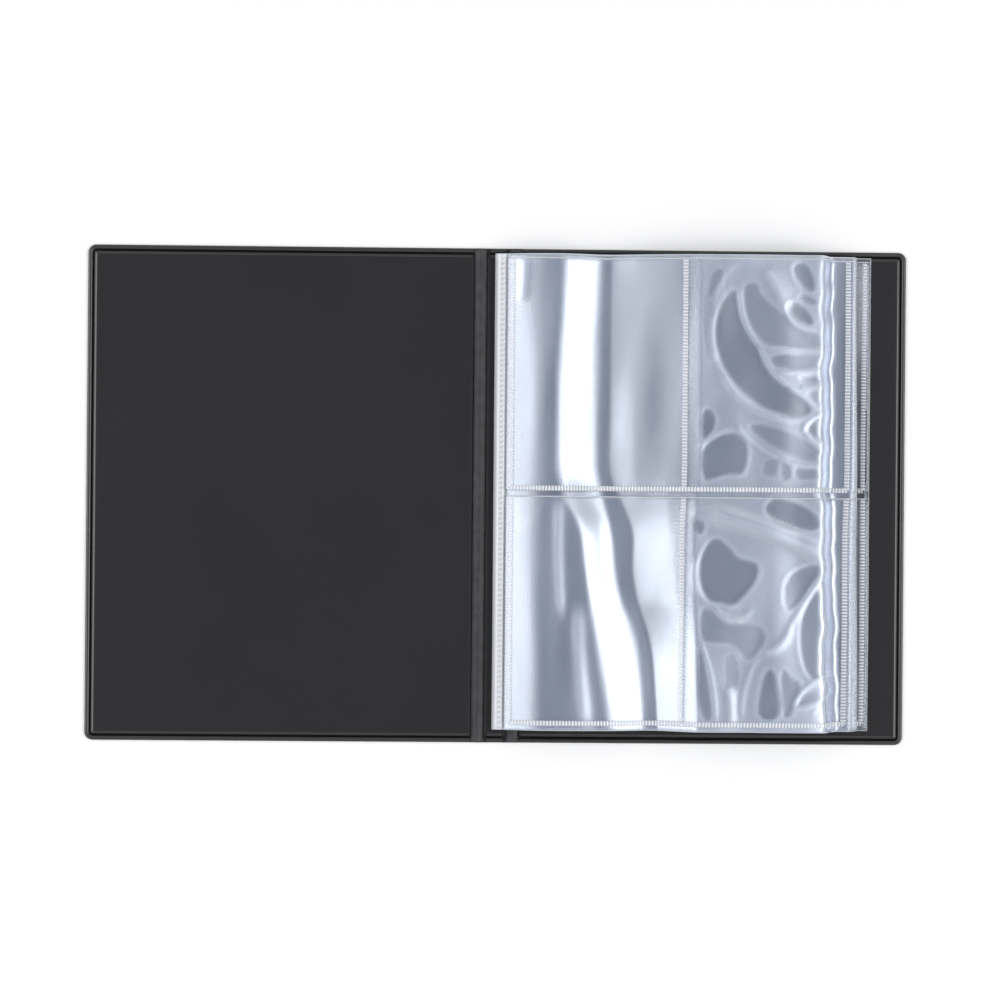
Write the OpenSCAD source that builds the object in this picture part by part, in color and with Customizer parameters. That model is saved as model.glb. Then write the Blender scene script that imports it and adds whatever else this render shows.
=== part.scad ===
// Trading card album lying open: two vinyl covers, a spine, and a pile of clear pocket leaves.
// Millimetres. X runs to the right across the open album, Y up the page, Z up from the table.
// The origin is on the table under the middle of the spine.

/* [Cover] */
// Height of the covers, along the spine
cover_h = 195; // [150:1:320]
// Width of one cover, from its outer edge to the hinge gutter
cover_w = 152.2; // [110:0.1:260]
// Width of the spine between the two gutters
spine_w = 9.2; // [6:0.1:40]
// Width of a hinge gutter
gutter_w = 4.7; // [4.2:0.1:9]
// Radius of the outer cover corners
corner_r = 3.2; // [1:0.1:15]
// Thickness of the outer vinyl skin
skin_t = 0.35; // [0.2:0.05:0.8]
// Thickness of the cover boards
board_t = 1.4; // [0.8:0.1:3]
// Thickness of the inner lining
lining_t = 0.25; // [0.15:0.05:0.6]

/* [Welds of the cover] */
// Width of the bead around the rim
bead_w = 1.7; // [1:0.1:4]
// Height of the rim bead above the welded flange
bead_h = 0.45; // [0.1:0.05:1]
// Width of the groove between the bead and the board
groove_w = 0.7; // [0.3:0.1:2]
// Width of the sloped shoulder over the edge of the board
shoulder_w = 1.2; // [0.4:0.1:3]
// Height of the sloped shoulder
shoulder_h = 0.6; // [0.2:0.1:1]
// How far the fused gutter lies above the table, where it is pressed in
gutter_lift = 0.1; // [0:0.05:0.3]
// Thickness of the fused gutter
gutter_t = 0.45; // [0.3:0.05:0.8]

/* [Leaves] */
// Height of a leaf
leaf_h = 187; // [140:1:310]
// Distance from the middle of the spine to the free edge of a leaf
leaf_reach = 147.5; // [100:0.1:250]
// How far the leaves sit above the middle of the covers
leaf_up = 1.6; // [-3:0.1:3]
// Thickness of one film
film_t = 0.08; // [0.05:0.01:0.2]
// Room inside a pocket
pocket_gap = 0.34; // [0.2:0.01:0.8]
// Clearance between two leaves
leaf_clear = 0.05; // [0.03:0.01:0.3]

/* [Pockets] */
// Width of a weld seam
seam_w = 2; // [1:0.1:4]
// Distance from the free edge of the leaf to the outer seam
edge_margin = 1.8; // [0.5:0.1:6]
// Distance from the lower edge of the leaf to the bottom seam
foot_margin = 2; // [0.5:0.1:6]
// How far the pocket films stop below the top edge of the leaf
mouth_drop = 1.5; // [0.5:0.1:5]
// Gap between the middle seam and the mouth of the lower pockets
mouth_gap = 2; // [0.5:0.1:6]
// Depth of an upper pocket
pocket_depth = 89.5; // [60:0.1:150]
// Gap left between two seams that meet
seam_split = 0.1; // [0.05:0.05:0.5]

/* [Binding] */
// Distance from the middle of the spine to the axis that the leaves turn on
bind_x = 1.45; // [0:0.05:4]
// Clearance between the fused bead and the leaves that turn around it
bind_clear = 0.1; // [0.05:0.05:0.4]
// Clearance between the lowest leaf and the cover lining
pile_clear = 0.3; // [0.1:0.05:1]
// Thickness of the weld strip on the spine lining
strip_t = 0.2; // [0.1:0.05:0.25]
// How far the weld strip runs past the bead on each side
strip_side = 0.15; // [0:0.05:1]
// Width of the neck between the strip and the bead
neck_w = 2.8; // [1:0.1:3]

/* [Hidden] */
leaf_count = 10;
eps_depth = 1;
$fn = 96;

// Levels
board_z = skin_t;
lining_z = board_z + board_t;
cover_t = lining_z + lining_t;
flange_top = skin_t + lining_t;

// Places along X
spine_half = spine_w / 2;
cover_in = spine_half + gutter_w;
cover_out = cover_in + cover_w;
hinge_x = spine_half + gutter_w / 2;

// Rim of the cover
block_inset = bead_w + groove_w;
board_inset = block_inset + lining_t;
inner_inset = lining_t;

// Leaf pile
leaf_t = 2 * film_t + pocket_gap;
leaf_pitch = leaf_t + leaf_clear;
pile_half = (leaf_count - 1) / 2 * leaf_pitch + leaf_t / 2;
bind_z = cover_t + pile_clear + pile_half;
bead_r = bind_z - cover_t - strip_t;
root_r = bead_r + bind_clear;
leaf_top = leaf_h / 2 + leaf_up;
leaf_foot = -leaf_h / 2 + leaf_up;

// Seams of a leaf
seam_x_left = bind_x + root_r;
seam_x_right = leaf_reach - edge_margin - seam_w;
seam_x_mid = (seam_x_left + seam_x_right) / 2;
mouth_y = leaf_top - mouth_drop;
mid_seam_y = mouth_y - pocket_depth - seam_w;
low_mouth_y = mid_seam_y - mouth_gap;
foot_seam_y = leaf_foot + foot_margin;

vinyl_colour = [0.11, 0.11, 0.12];
board_colour = [0.45, 0.42, 0.38];
film_colour = [0.72, 0.76, 0.84, 0.35];
seam_colour = [0.85, 0.88, 0.93, 0.6];

// Outline of the front cover, set in from its edge. Only the two outer corners are round.
module cover_outline(out_inset, in_inset) {
    x0 = -cover_out + out_inset;
    x1 = -cover_in - in_inset;
    half = cover_h / 2 - out_inset;
    r = max(corner_r - out_inset, 0.5);
    union() {
        translate([x0 + r, -half])
            square([x1 - x0 - r, 2 * half]);
        translate([x0, -half + r])
            square([r * 2, 2 * (half - r)]);
        for (s = [-1, 1])
            translate([x0 + r, s * (half - r)])
                circle(r = r);
    }
}

// A flat slab of the front cover's outline
module cover_slab(out_inset, in_inset, z0, z1) {
    translate([0, 0, z0])
        linear_extrude(height = z1 - z0)
            cover_outline(out_inset, in_inset);
}

// The lining's raised middle, with a slope along each of its four sides
module raised_block(x0, x1, half) {
    low = cover_t - shoulder_h;
    intersection() {
        translate([0, half + eps_depth, 0])
            rotate([90, 0, 0])
                linear_extrude(height = 2 * (half + eps_depth))
                    polygon([
                        [x0, skin_t], [x1, skin_t], [x1, low], [x1 - shoulder_w, cover_t],
                        [x0 + shoulder_w, cover_t], [x0, low]
                    ]);
        translate([x0 - eps_depth, 0, 0])
            rotate([90, 0, 90])
                linear_extrude(height = x1 - x0 + 2 * eps_depth)
                    polygon([
                        [-half, skin_t], [half, skin_t], [half, low], [half - shoulder_w, cover_t],
                        [-half + shoulder_w, cover_t], [-half, low]
                    ]);
    }
}

// Outer skin of one cover
module cover_skin() {
    cover_slab(0, 0, 0, skin_t);
}

// Board of one cover
module cover_board() {
    cover_slab(board_inset + shoulder_w / 2, inner_inset + shoulder_w / 2, board_z, lining_z);
}

// Lining of one cover: welded flange, rim bead, groove and the raised middle over the board
module cover_lining() {
    difference() {
        union() {
            cover_slab(0, 0, skin_t, flange_top);
            difference() {
                cover_slab(0, 0, skin_t, flange_top + bead_h);
                cover_slab(bead_w, -eps_depth, 0, cover_t);
            }
            intersection() {
                cover_slab(block_inset, 0, skin_t, cover_t);
                raised_block(-cover_out + block_inset, -cover_in, cover_h / 2 - block_inset);
            }
        }
        cover_board();
    }
}

module front_skin() {
    color(vinyl_colour) cover_skin();
}

module front_board() {
    color(board_colour) cover_board();
}

module front_lining() {
    color(vinyl_colour) cover_lining();
}

module back_skin() {
    color(vinyl_colour) mirror([1, 0, 0]) cover_skin();
}

module back_board() {
    color(board_colour) mirror([1, 0, 0]) cover_board();
}

module back_lining() {
    color(vinyl_colour) mirror([1, 0, 0]) cover_lining();
}

module spine_skin() {
    color(vinyl_colour)
        translate([-spine_half, -cover_h / 2, 0])
            cube([spine_w, cover_h, skin_t]);
}

// Size of the spine board, inside the lining
spine_board_w = spine_w - 2 * inner_inset - shoulder_w;
spine_board_h = cover_h - 2 * board_inset - shoulder_w;

module spine_board() {
    color(board_colour)
        translate([-spine_board_w / 2, -spine_board_h / 2, board_z])
            cube([spine_board_w, spine_board_h, board_t]);
}

module spine_lining() {
    color(vinyl_colour)
        difference() {
            union() {
                translate([-spine_half, -cover_h / 2, skin_t])
                    cube([spine_w, cover_h, lining_t]);
                for (s = [-1, 1])
                    translate([-spine_half, s * (cover_h - bead_w) / 2 - bead_w / 2, skin_t])
                        cube([spine_w, bead_w, lining_t + bead_h]);
                raised_block(-spine_half, spine_half, cover_h / 2 - block_inset);
            }
            translate([-spine_board_w / 2, -spine_board_h / 2, board_z])
                cube([spine_board_w, spine_board_h, board_t]);
        }
}

// The fused band between the front cover and the spine
module hinge_gutter() {
    translate([-cover_in, -cover_h / 2, gutter_lift])
        cube([gutter_w, cover_h, gutter_t]);
}

module front_hinge_gutter() {
    color(vinyl_colour) hinge_gutter();
}

module back_hinge_gutter() {
    color(vinyl_colour) mirror([1, 0, 0]) hinge_gutter();
}

// Inner margins of all leaves, fused to one bead on a strip that is welded to the spine lining
module binding_weld() {
    strip_w = 2 * (bead_r + strip_side);
    color(seam_colour)
        union() {
            translate([bind_x - strip_w / 2, leaf_foot, cover_t])
                cube([strip_w, leaf_h, strip_t]);
            translate([bind_x - neck_w / 2, leaf_foot, cover_t])
                cube([neck_w, leaf_h, bind_z - cover_t]);
            translate([bind_x, leaf_top, bind_z])
                rotate([90, 0, 0])
                    cylinder(r = bead_r, h = leaf_h);
        }
}

// Height of a leaf's middle above the axis. Leaf 1 is on top.
function leaf_offset(n) = ((leaf_count + 1) / 2 - n) * leaf_pitch;

// Where a leaf begins, so that it clears the bead in every position
function leaf_start(n) =
    bind_x + sqrt(pow(root_r, 2) - pow(max(abs(leaf_offset(n)) - leaf_t / 2, 0), 2));

function back_film_z(n) = bind_z + leaf_offset(n) - leaf_t / 2;
function seam_z(n) = back_film_z(n) + film_t;
function pocket_film_z(n) = seam_z(n) + pocket_gap;

// A sheet of film of leaf n between two heights on the page
module film_sheet(n, y0, y1, z) {
    color(film_colour)
        translate([leaf_start(n), y0, z])
            cube([leaf_reach - leaf_start(n), y1 - y0, film_t]);
}

module leaf_back_film(n) {
    film_sheet(n, leaf_foot, leaf_top, back_film_z(n));
}

module leaf_upper_film(n) {
    film_sheet(n, mid_seam_y, mouth_y, pocket_film_z(n));
}

module leaf_lower_film(n) {
    film_sheet(n, leaf_foot, low_mouth_y, pocket_film_z(n));
}

// The weld seams between the films of leaf n, as separate straight strips
module leaf_seams(n) {
    seam_len = seam_x_right + seam_w - seam_x_left;
    color(seam_colour) {
        for (y = [mid_seam_y, foot_seam_y])
            translate([seam_x_left, y, seam_z(n)])
                cube([seam_len, seam_w, pocket_gap]);
        for (x = [seam_x_left, seam_x_mid, seam_x_right]) {
            translate([x, mid_seam_y + seam_w + seam_split, seam_z(n)])
                cube([seam_w, mouth_y - mid_seam_y - seam_w - seam_split, pocket_gap]);
            translate([x, foot_seam_y + seam_w + seam_split, seam_z(n)])
                cube([seam_w, low_mouth_y - foot_seam_y - seam_w - seam_split, pocket_gap]);
        }
    }
}

front_skin();
front_board();
front_lining();
front_hinge_gutter();
spine_skin();
spine_board();
spine_lining();
binding_weld();
back_hinge_gutter();
back_skin();
back_board();
back_lining();
leaf_back_film(1);  // leaf_01_back_film
leaf_upper_film(1);  // leaf_01_upper_film
leaf_lower_film(1);  // leaf_01_lower_film
leaf_seams(1);  // leaf_01_seams
leaf_back_film(2);  // leaf_02_back_film
leaf_upper_film(2);  // leaf_02_upper_film
leaf_lower_film(2);  // leaf_02_lower_film
leaf_seams(2);  // leaf_02_seams
leaf_back_film(3);  // leaf_03_back_film
leaf_upper_film(3);  // leaf_03_upper_film
leaf_lower_film(3);  // leaf_03_lower_film
leaf_seams(3);  // leaf_03_seams
leaf_back_film(4);  // leaf_04_back_film
leaf_upper_film(4);  // leaf_04_upper_film
leaf_lower_film(4);  // leaf_04_lower_film
leaf_seams(4);  // leaf_04_seams
leaf_back_film(5);  // leaf_05_back_film
leaf_upper_film(5);  // leaf_05_upper_film
leaf_lower_film(5);  // leaf_05_lower_film
leaf_seams(5);  // leaf_05_seams
leaf_back_film(6);  // leaf_06_back_film
leaf_upper_film(6);  // leaf_06_upper_film
leaf_lower_film(6);  // leaf_06_lower_film
leaf_seams(6);  // leaf_06_seams
leaf_back_film(7);  // leaf_07_back_film
leaf_upper_film(7);  // leaf_07_upper_film
leaf_lower_film(7);  // leaf_07_lower_film
leaf_seams(7);  // leaf_07_seams
leaf_back_film(8);  // leaf_08_back_film
leaf_upper_film(8);  // leaf_08_upper_film
leaf_lower_film(8);  // leaf_08_lower_film
leaf_seams(8);  // leaf_08_seams
leaf_back_film(9);  // leaf_09_back_film
leaf_upper_film(9);  // leaf_09_upper_film
leaf_lower_film(9);  // leaf_09_lower_film
leaf_seams(9);  // leaf_09_seams
leaf_back_film(10);  // leaf_10_back_film
leaf_upper_film(10);  // leaf_10_upper_film
leaf_lower_film(10);  // leaf_10_lower_film
leaf_seams(10);  // leaf_10_seams
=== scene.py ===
"""Looks of an open trading card album: welded vinyl covers and a bowed pile of clear pocket leaves.

Lengths in the tables are millimetres on the page: 'a' runs along a leaf from its root to its free edge,
'y' runs up the page. Every point is turned into metres in the frame of the CAD model.
"""
import math

import bpy
import numpy as np
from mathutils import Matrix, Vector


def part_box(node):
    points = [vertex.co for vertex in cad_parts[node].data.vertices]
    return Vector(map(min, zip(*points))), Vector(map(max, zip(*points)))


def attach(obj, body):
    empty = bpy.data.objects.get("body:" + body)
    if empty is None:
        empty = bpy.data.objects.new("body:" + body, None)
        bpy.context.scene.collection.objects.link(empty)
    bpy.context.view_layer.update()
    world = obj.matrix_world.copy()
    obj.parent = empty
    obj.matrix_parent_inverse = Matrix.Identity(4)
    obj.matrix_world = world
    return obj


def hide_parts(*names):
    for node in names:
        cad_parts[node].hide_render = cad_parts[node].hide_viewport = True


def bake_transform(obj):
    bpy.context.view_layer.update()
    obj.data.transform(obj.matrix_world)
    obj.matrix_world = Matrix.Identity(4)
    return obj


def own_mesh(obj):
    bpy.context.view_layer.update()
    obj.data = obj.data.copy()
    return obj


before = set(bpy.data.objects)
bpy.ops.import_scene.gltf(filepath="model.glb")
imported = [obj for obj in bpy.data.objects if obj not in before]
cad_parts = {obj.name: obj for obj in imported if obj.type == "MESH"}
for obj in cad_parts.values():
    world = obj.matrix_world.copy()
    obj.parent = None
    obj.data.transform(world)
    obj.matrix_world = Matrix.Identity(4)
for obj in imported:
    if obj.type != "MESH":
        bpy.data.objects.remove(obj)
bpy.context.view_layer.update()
MM = 0.001

# Sizes read from the frame, in millimetres


def node_box(node):
    """Lowest and highest corner of a CAD node, in millimetres."""
    low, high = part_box(node)
    return np.array(low) / MM, np.array(high) / MM


COVER_LOW, COVER_HIGH = node_box("front_skin")
LINING_TOP = node_box("front_lining")[1][2]
SPINE_LOW, SPINE_HIGH = node_box("spine_skin")
GUTTER_LOW, GUTTER_HIGH = node_box("front_hinge_gutter")
BIND_LOW, BIND_HIGH = node_box("binding_weld")
LEAF_COUNT = sum(name.endswith("_back_film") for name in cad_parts)
COVER_HALF_H = COVER_HIGH[1]
COVER_OUT = -COVER_LOW[0]
COVER_IN = -COVER_HIGH[0]
SPINE_HALF = SPINE_HIGH[0]
BEAD_R = 2.825
BIND_AXIS = np.array([(BIND_LOW[0] + BIND_HIGH[0]) / 2, BIND_HIGH[2] - BEAD_R])
LEAF_FOOT, LEAF_TOP = BIND_LOW[1], BIND_HIGH[1]

# Mesh building


def mesh_object(name, points, quads, material, **values):
    """A smooth-shaded mesh object at the origin from points in millimetres and rows of four indices.

    values are numbers per point, kept as attributes of these names. The film and weld materials read them.
    """
    mesh = bpy.data.meshes.new(name)
    mesh.from_pydata((points * MM).tolist(), [], quads.tolist())
    mesh.polygons.foreach_set("use_smooth", np.ones(len(mesh.polygons), dtype=bool))
    for label, numbers in values.items():
        mesh.attributes.new(label, "FLOAT", "POINT").data.foreach_set("value", numbers.ravel())
    mesh.materials.append(material)
    mesh.update()
    obj = bpy.data.objects.new(name, mesh)
    bpy.context.scene.collection.objects.link(obj)
    return obj


def grid_quads(rows, cols, start=0):
    """Quads of a rows x cols grid of points numbered row by row. They face where row x col turns left."""
    index = np.arange(rows * cols).reshape(rows, cols) + start
    return np.stack(
        [index[:-1, :-1], index[1:, :-1], index[1:, 1:], index[:-1, 1:]], axis=-1
    ).reshape(-1, 4)


def shell(top, thick):
    """A closed sheet: the points and quads of the grid 'top', of one 'thick' lower, and of the rim."""
    rows, cols = top.shape[:2]
    below = top - np.array([0, 0, 1]) * np.reshape(thick, np.shape(thick) + (1,) * (3 - np.ndim(thick)))
    count = rows * cols
    index = np.arange(count).reshape(rows, cols)
    rim = np.concatenate([index[:, 0], index[-1, 1:], index[-2::-1, -1], index[0, -2:0:-1]])
    after = np.roll(rim, -1)
    side = np.stack([after, rim, rim + count, after + count], axis=-1)
    quads = np.concatenate([grid_quads(rows, cols), grid_quads(rows, cols)[:, ::-1] + count, side])
    return np.concatenate([top.reshape(-1, 3), below.reshape(-1, 3)]), quads


def join(parts):
    """One set of points and quads, and of press values if there are any, from several."""
    points, quads, press, count = [], [], [], 0
    for part in parts:
        points.append(part[0])
        quads.append(part[1] + count)
        press.append(part[2] if len(part) > 2 else np.zeros(len(part[0])))
        count += len(part[0])
    return np.concatenate(points), np.concatenate(quads), np.concatenate(press)


def ramp(x, low, high):
    """Smooth step from 0 at low to 1 at high."""
    t = np.clip((x - low) / (high - low), 0, 1)
    return t * t * (3 - 2 * t)


def ease_out(x, low, high):
    """A step from 0 at low to 1 at high that is steepest at low and level at high."""
    return 1 - (1 - np.clip((x - low) / (high - low), 0, 1)) ** 2


def hill(x, centre, left, right):
    """A cosine-squared hill of height 1 with its own width on each side of its crest."""
    t = (x - centre) / np.where(x < centre, left, right)
    return np.where(np.abs(t) < 1, np.cos(np.clip(t, -1, 1) * np.pi / 2) ** 2, 0.0)


# Materials

PEBBLE_SCALE = 1500.0
PATCH_SCALE = 14.0
WEB_PATCH_SCALE = 260.0
BOARD_PATCH_SCALE = 400.0
PEBBLE_DETAIL = 4.0
PATCH_DETAIL = 3.0
BUMP_STRENGTH = 0.35
BUMP_DEPTH = 0.00005
BOARD_DARK = (0.14, 0.12, 0.10)
BOARD_LIGHT = (0.25, 0.22, 0.18)
BOARD_ROUGH = 0.95
FILM_IOR = 1.48
FILM_MIRROR = 2.2
FILM_HAZE = 0.3
FILM_ROUGH = (0.19, 0.4)
FILM_TINT = (0.80, 0.86, 0.97)
FILM_METAL = 0.8
WELD_ROUGH = (0.2, 0.4)
WELD_TINT = (0.88, 0.90, 0.95)
WELD_METAL = 0.2


def node_group(name, inputs, outputs):
    """An empty shader node group with named float inputs and the given outputs."""
    group = bpy.data.node_groups.new(name, "ShaderNodeTree")
    for label, value in inputs:
        socket = group.interface.new_socket(label, in_out="INPUT", socket_type="NodeSocketFloat")
        socket.default_value = value
    for label, kind in outputs:
        group.interface.new_socket(label, in_out="OUTPUT", socket_type=kind)
    return group, group.nodes.new("NodeGroupInput"), group.nodes.new("NodeGroupOutput")


def make_grain_group():
    """Vinyl grain: fine pebbles from a cell pattern, broken up by noise, and slow patches of wear."""
    group, given, out = node_group(
        "vinyl_grain",
        [("Pebble Scale", PEBBLE_SCALE), ("Patch Scale", PATCH_SCALE)],
        [("Height", "NodeSocketFloat"), ("Patch", "NodeSocketFloat")],
    )
    coords = group.nodes.new("ShaderNodeTexCoord")
    pebble = group.nodes.new("ShaderNodeTexVoronoi")
    pebble.feature = "SMOOTH_F1"
    fine = group.nodes.new("ShaderNodeTexNoise")
    fine.inputs["Detail"].default_value = PEBBLE_DETAIL
    patch = group.nodes.new("ShaderNodeTexNoise")
    patch.inputs["Detail"].default_value = PATCH_DETAIL
    add = group.nodes.new("ShaderNodeMath")
    link = group.links.new
    for texture, scale in ((pebble, "Pebble Scale"), (fine, "Pebble Scale"), (patch, "Patch Scale")):
        link(coords.outputs["Object"], texture.inputs["Vector"])
        link(given.outputs[scale], texture.inputs["Scale"])
    link(pebble.outputs["Distance"], add.inputs[0])
    link(fine.outputs["Fac"], add.inputs[1])
    link(add.outputs[0], out.inputs["Height"])
    link(patch.outputs["Fac"], out.inputs["Patch"])
    return group


def new_material(name):
    """A node material, its Principled shader, its node list and its link function."""
    material = bpy.data.materials.new(name)
    material.use_nodes = True
    tree = material.node_tree
    return material, tree.nodes["Principled BSDF"], tree.nodes, tree.links.new


def map_range(nodes, link, source, low, high, socket):
    """Feeds socket with source, a value from 0 to 1, stretched to run from low to high."""
    node = nodes.new("ShaderNodeMapRange")
    node.inputs["To Min"].default_value = low
    node.inputs["To Max"].default_value = high
    link(source, node.inputs["Value"])
    link(node.outputs["Result"], socket)
    return node


def mix_colour(nodes, link, mask, first, second, socket):
    """Feeds a colour socket with a mix of two colours by a mask."""
    node = nodes.new("ShaderNodeMix")
    node.data_type = "RGBA"
    node.inputs["A"].default_value = (*first, 1)
    node.inputs["B"].default_value = (*second, 1)
    link(mask, node.inputs["Factor"])
    link(node.outputs["Result"], socket)


def make_vinyl(name, grain, dark, light, smooth, rough, gloss, patch=PATCH_SCALE):
    """Black PVC sheet with fine pebble grain and slow changes of shade, from smooth to rough."""
    material, shader, nodes, link = new_material(name)
    group = nodes.new("ShaderNodeGroup")
    group.node_tree = grain
    group.inputs["Patch Scale"].default_value = patch
    mix_colour(nodes, link, group.outputs["Patch"], dark, light, shader.inputs["Base Color"])
    map_range(nodes, link, group.outputs["Patch"], smooth, rough, shader.inputs["Roughness"])
    bump = nodes.new("ShaderNodeBump")
    bump.inputs["Strength"].default_value = BUMP_STRENGTH
    bump.inputs["Distance"].default_value = BUMP_DEPTH
    link(group.outputs["Height"], bump.inputs["Height"])
    link(bump.outputs["Normal"], shader.inputs["Normal"])
    shader.inputs["Specular IOR Level"].default_value = gloss
    return material


def make_board(grain):
    """Raw grey board, with flecks of fibre."""
    material, shader, nodes, link = new_material("grey_board")
    group = nodes.new("ShaderNodeGroup")
    group.node_tree = grain
    group.inputs["Patch Scale"].default_value = BOARD_PATCH_SCALE
    mix_colour(nodes, link, group.outputs["Patch"], BOARD_DARK, BOARD_LIGHT, shader.inputs["Base Color"])
    shader.inputs["Roughness"].default_value = BOARD_ROUGH
    return material


def make_film():
    """Clear glossy film: a thin mirror whose strength follows Fresnel, over what lies behind it.

    The side that a ray meets first mirrors for both, so the far side is left clear. The haze attribute,
    from 0 to 1, marks milky patches and scuffs, and also painted reflection beside the root and over
    the bottom leaf.
    """
    material, shader, nodes, link = new_material("clear_film")
    haze = nodes.new("ShaderNodeAttribute")
    haze.attribute_name = "haze"
    fresnel = nodes.new("ShaderNodeFresnel")
    fresnel.inputs["IOR"].default_value = FILM_IOR
    strength = nodes.new("ShaderNodeMath")
    strength.operation = "MULTIPLY_ADD"
    strength.inputs[1].default_value = FILM_MIRROR
    link(fresnel.outputs["Fac"], strength.inputs[0])
    map_range(nodes, link, haze.outputs["Fac"], 0.0, FILM_HAZE, strength.inputs[2])
    geometry = nodes.new("ShaderNodeNewGeometry")
    outside = nodes.new("ShaderNodeMath")
    outside.operation = "SUBTRACT"
    outside.inputs[0].default_value = 1.0
    link(geometry.outputs["Backfacing"], outside.inputs[1])
    seen = nodes.new("ShaderNodeMath")
    seen.operation = "MULTIPLY"
    seen.use_clamp = True
    link(strength.outputs[0], seen.inputs[0])
    link(outside.outputs[0], seen.inputs[1])
    link(seen.outputs[0], shader.inputs["Alpha"])
    map_range(nodes, link, haze.outputs["Fac"], *FILM_ROUGH, shader.inputs["Roughness"])
    shader.inputs["Base Color"].default_value = (*FILM_TINT, 1)
    shader.inputs["Metallic"].default_value = FILM_METAL
    return material


def make_weld(name, hollow, rib):
    """Pressed film weld: clear in its hollows and whitened on its ribs, which the press attribute marks."""
    material, shader, nodes, link = new_material(name)
    press = nodes.new("ShaderNodeAttribute")
    press.attribute_name = "press"
    map_range(nodes, link, press.outputs["Fac"], hollow, rib, shader.inputs["Alpha"])
    map_range(nodes, link, press.outputs["Fac"], *WELD_ROUGH, shader.inputs["Roughness"])
    shader.inputs["Base Color"].default_value = (*WELD_TINT, 1)
    shader.inputs["Metallic"].default_value = WELD_METAL
    return material


grain_group = make_grain_group()
vinyl = make_vinyl(
    "black_vinyl", grain_group, dark=(0.015, 0.015, 0.017), light=(0.022, 0.022, 0.024),
    smooth=0.46, rough=0.64, gloss=0.2)
welded_vinyl = make_vinyl(
    "welded_vinyl", grain_group, dark=(0.010, 0.010, 0.011), light=(0.016, 0.016, 0.017),
    smooth=0.24, rough=0.36, gloss=0.9)
# Near-black vinyl for the groove of the rim: painted shade in the recess
groove_shade_vinyl = make_vinyl(
    "groove_shade_vinyl", grain_group, dark=(0.002, 0.002, 0.002), light=(0.004, 0.004, 0.004),
    smooth=0.7, rough=0.9, gloss=0.1)
pressed_web = make_vinyl(
    "pressed_web", grain_group, dark=(0.012, 0.012, 0.013), light=(0.075, 0.075, 0.08),
    smooth=0.3, rough=0.5, gloss=0.5, patch=WEB_PATCH_SCALE)
board = make_board(grain_group)
film = make_film()
weld = make_weld("film_weld", hollow=0.15, rib=0.75)
fused_edge = make_weld("fused_edge", hollow=0.45, rib=0.95)

# Covers and spine

# Rim of a cover, from the outside underneath to the flat middle: how far in from the edge, how far in at
# the hinge side, and the height
RIM = np.array([
    [0.60, 0.30, 0.00],
    [0.20, 0.10, 0.08],
    [0.00, 0.00, 0.35],
    [0.05, 0.00, 0.72],
    [0.35, 0.02, 0.98],
    [0.85, 0.04, 1.06],
    [1.35, 0.06, 0.98],
    [1.65, 0.08, 0.74],
    [1.85, 0.10, 0.62],
    [2.25, 0.12, 0.62],
    [2.40, 0.15, 0.80],
    [2.55, 0.25, 1.35],
    [2.95, 0.50, 1.78],
    [3.60, 0.95, 1.95],
    [4.60, 1.60, 2.00],
])
# Rows of the rim that the hot tool pressed smooth, and those of the groove among them, which get a
# near-black vinyl as painted shade
WELD_FROM = 2
WELD_TO = 13
GROOVE_FROM = 7
GROOVE_TO = 10
# Width beside a gutter that the tool left as it was
HINGE_BAND = 1.6
CORNER_R = 3.2
LEAST_R = 0.35
CORNER_STEPS = 10
EDGE_STEPS = 24


def rounded_ring(x0, x1, half, radius0, radius1, height):
    """A closed ring of points: a rectangle from x0 to x1 and -half to half with its own radius at each end.

    Each corner is a quarter circle of CORNER_STEPS steps and each side is cut into EDGE_STEPS.
    """
    turn = np.linspace(0, np.pi / 2, CORNER_STEPS + 1)
    corners = []
    for k, (x, y, r) in enumerate([
        (x1 - radius1, half - radius1, radius1),
        (x0 + radius0, half - radius0, radius0),
        (x0 + radius0, -half + radius0, radius0),
        (x1 - radius1, -half + radius1, radius1),
    ]):
        angle = turn + k * np.pi / 2
        corners.append(np.stack([x + r * np.cos(angle), y + r * np.sin(angle)], axis=-1))
    share = np.linspace(0, 1, EDGE_STEPS + 1)[1:-1, None]
    run = []
    for k in range(4):
        run.append(corners[k])
        run.append(corners[k][-1] * (1 - share) + corners[(k + 1) % 4][0] * share)
    flat = np.concatenate(run)
    return np.column_stack([flat, np.full(len(flat), height)])


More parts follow.
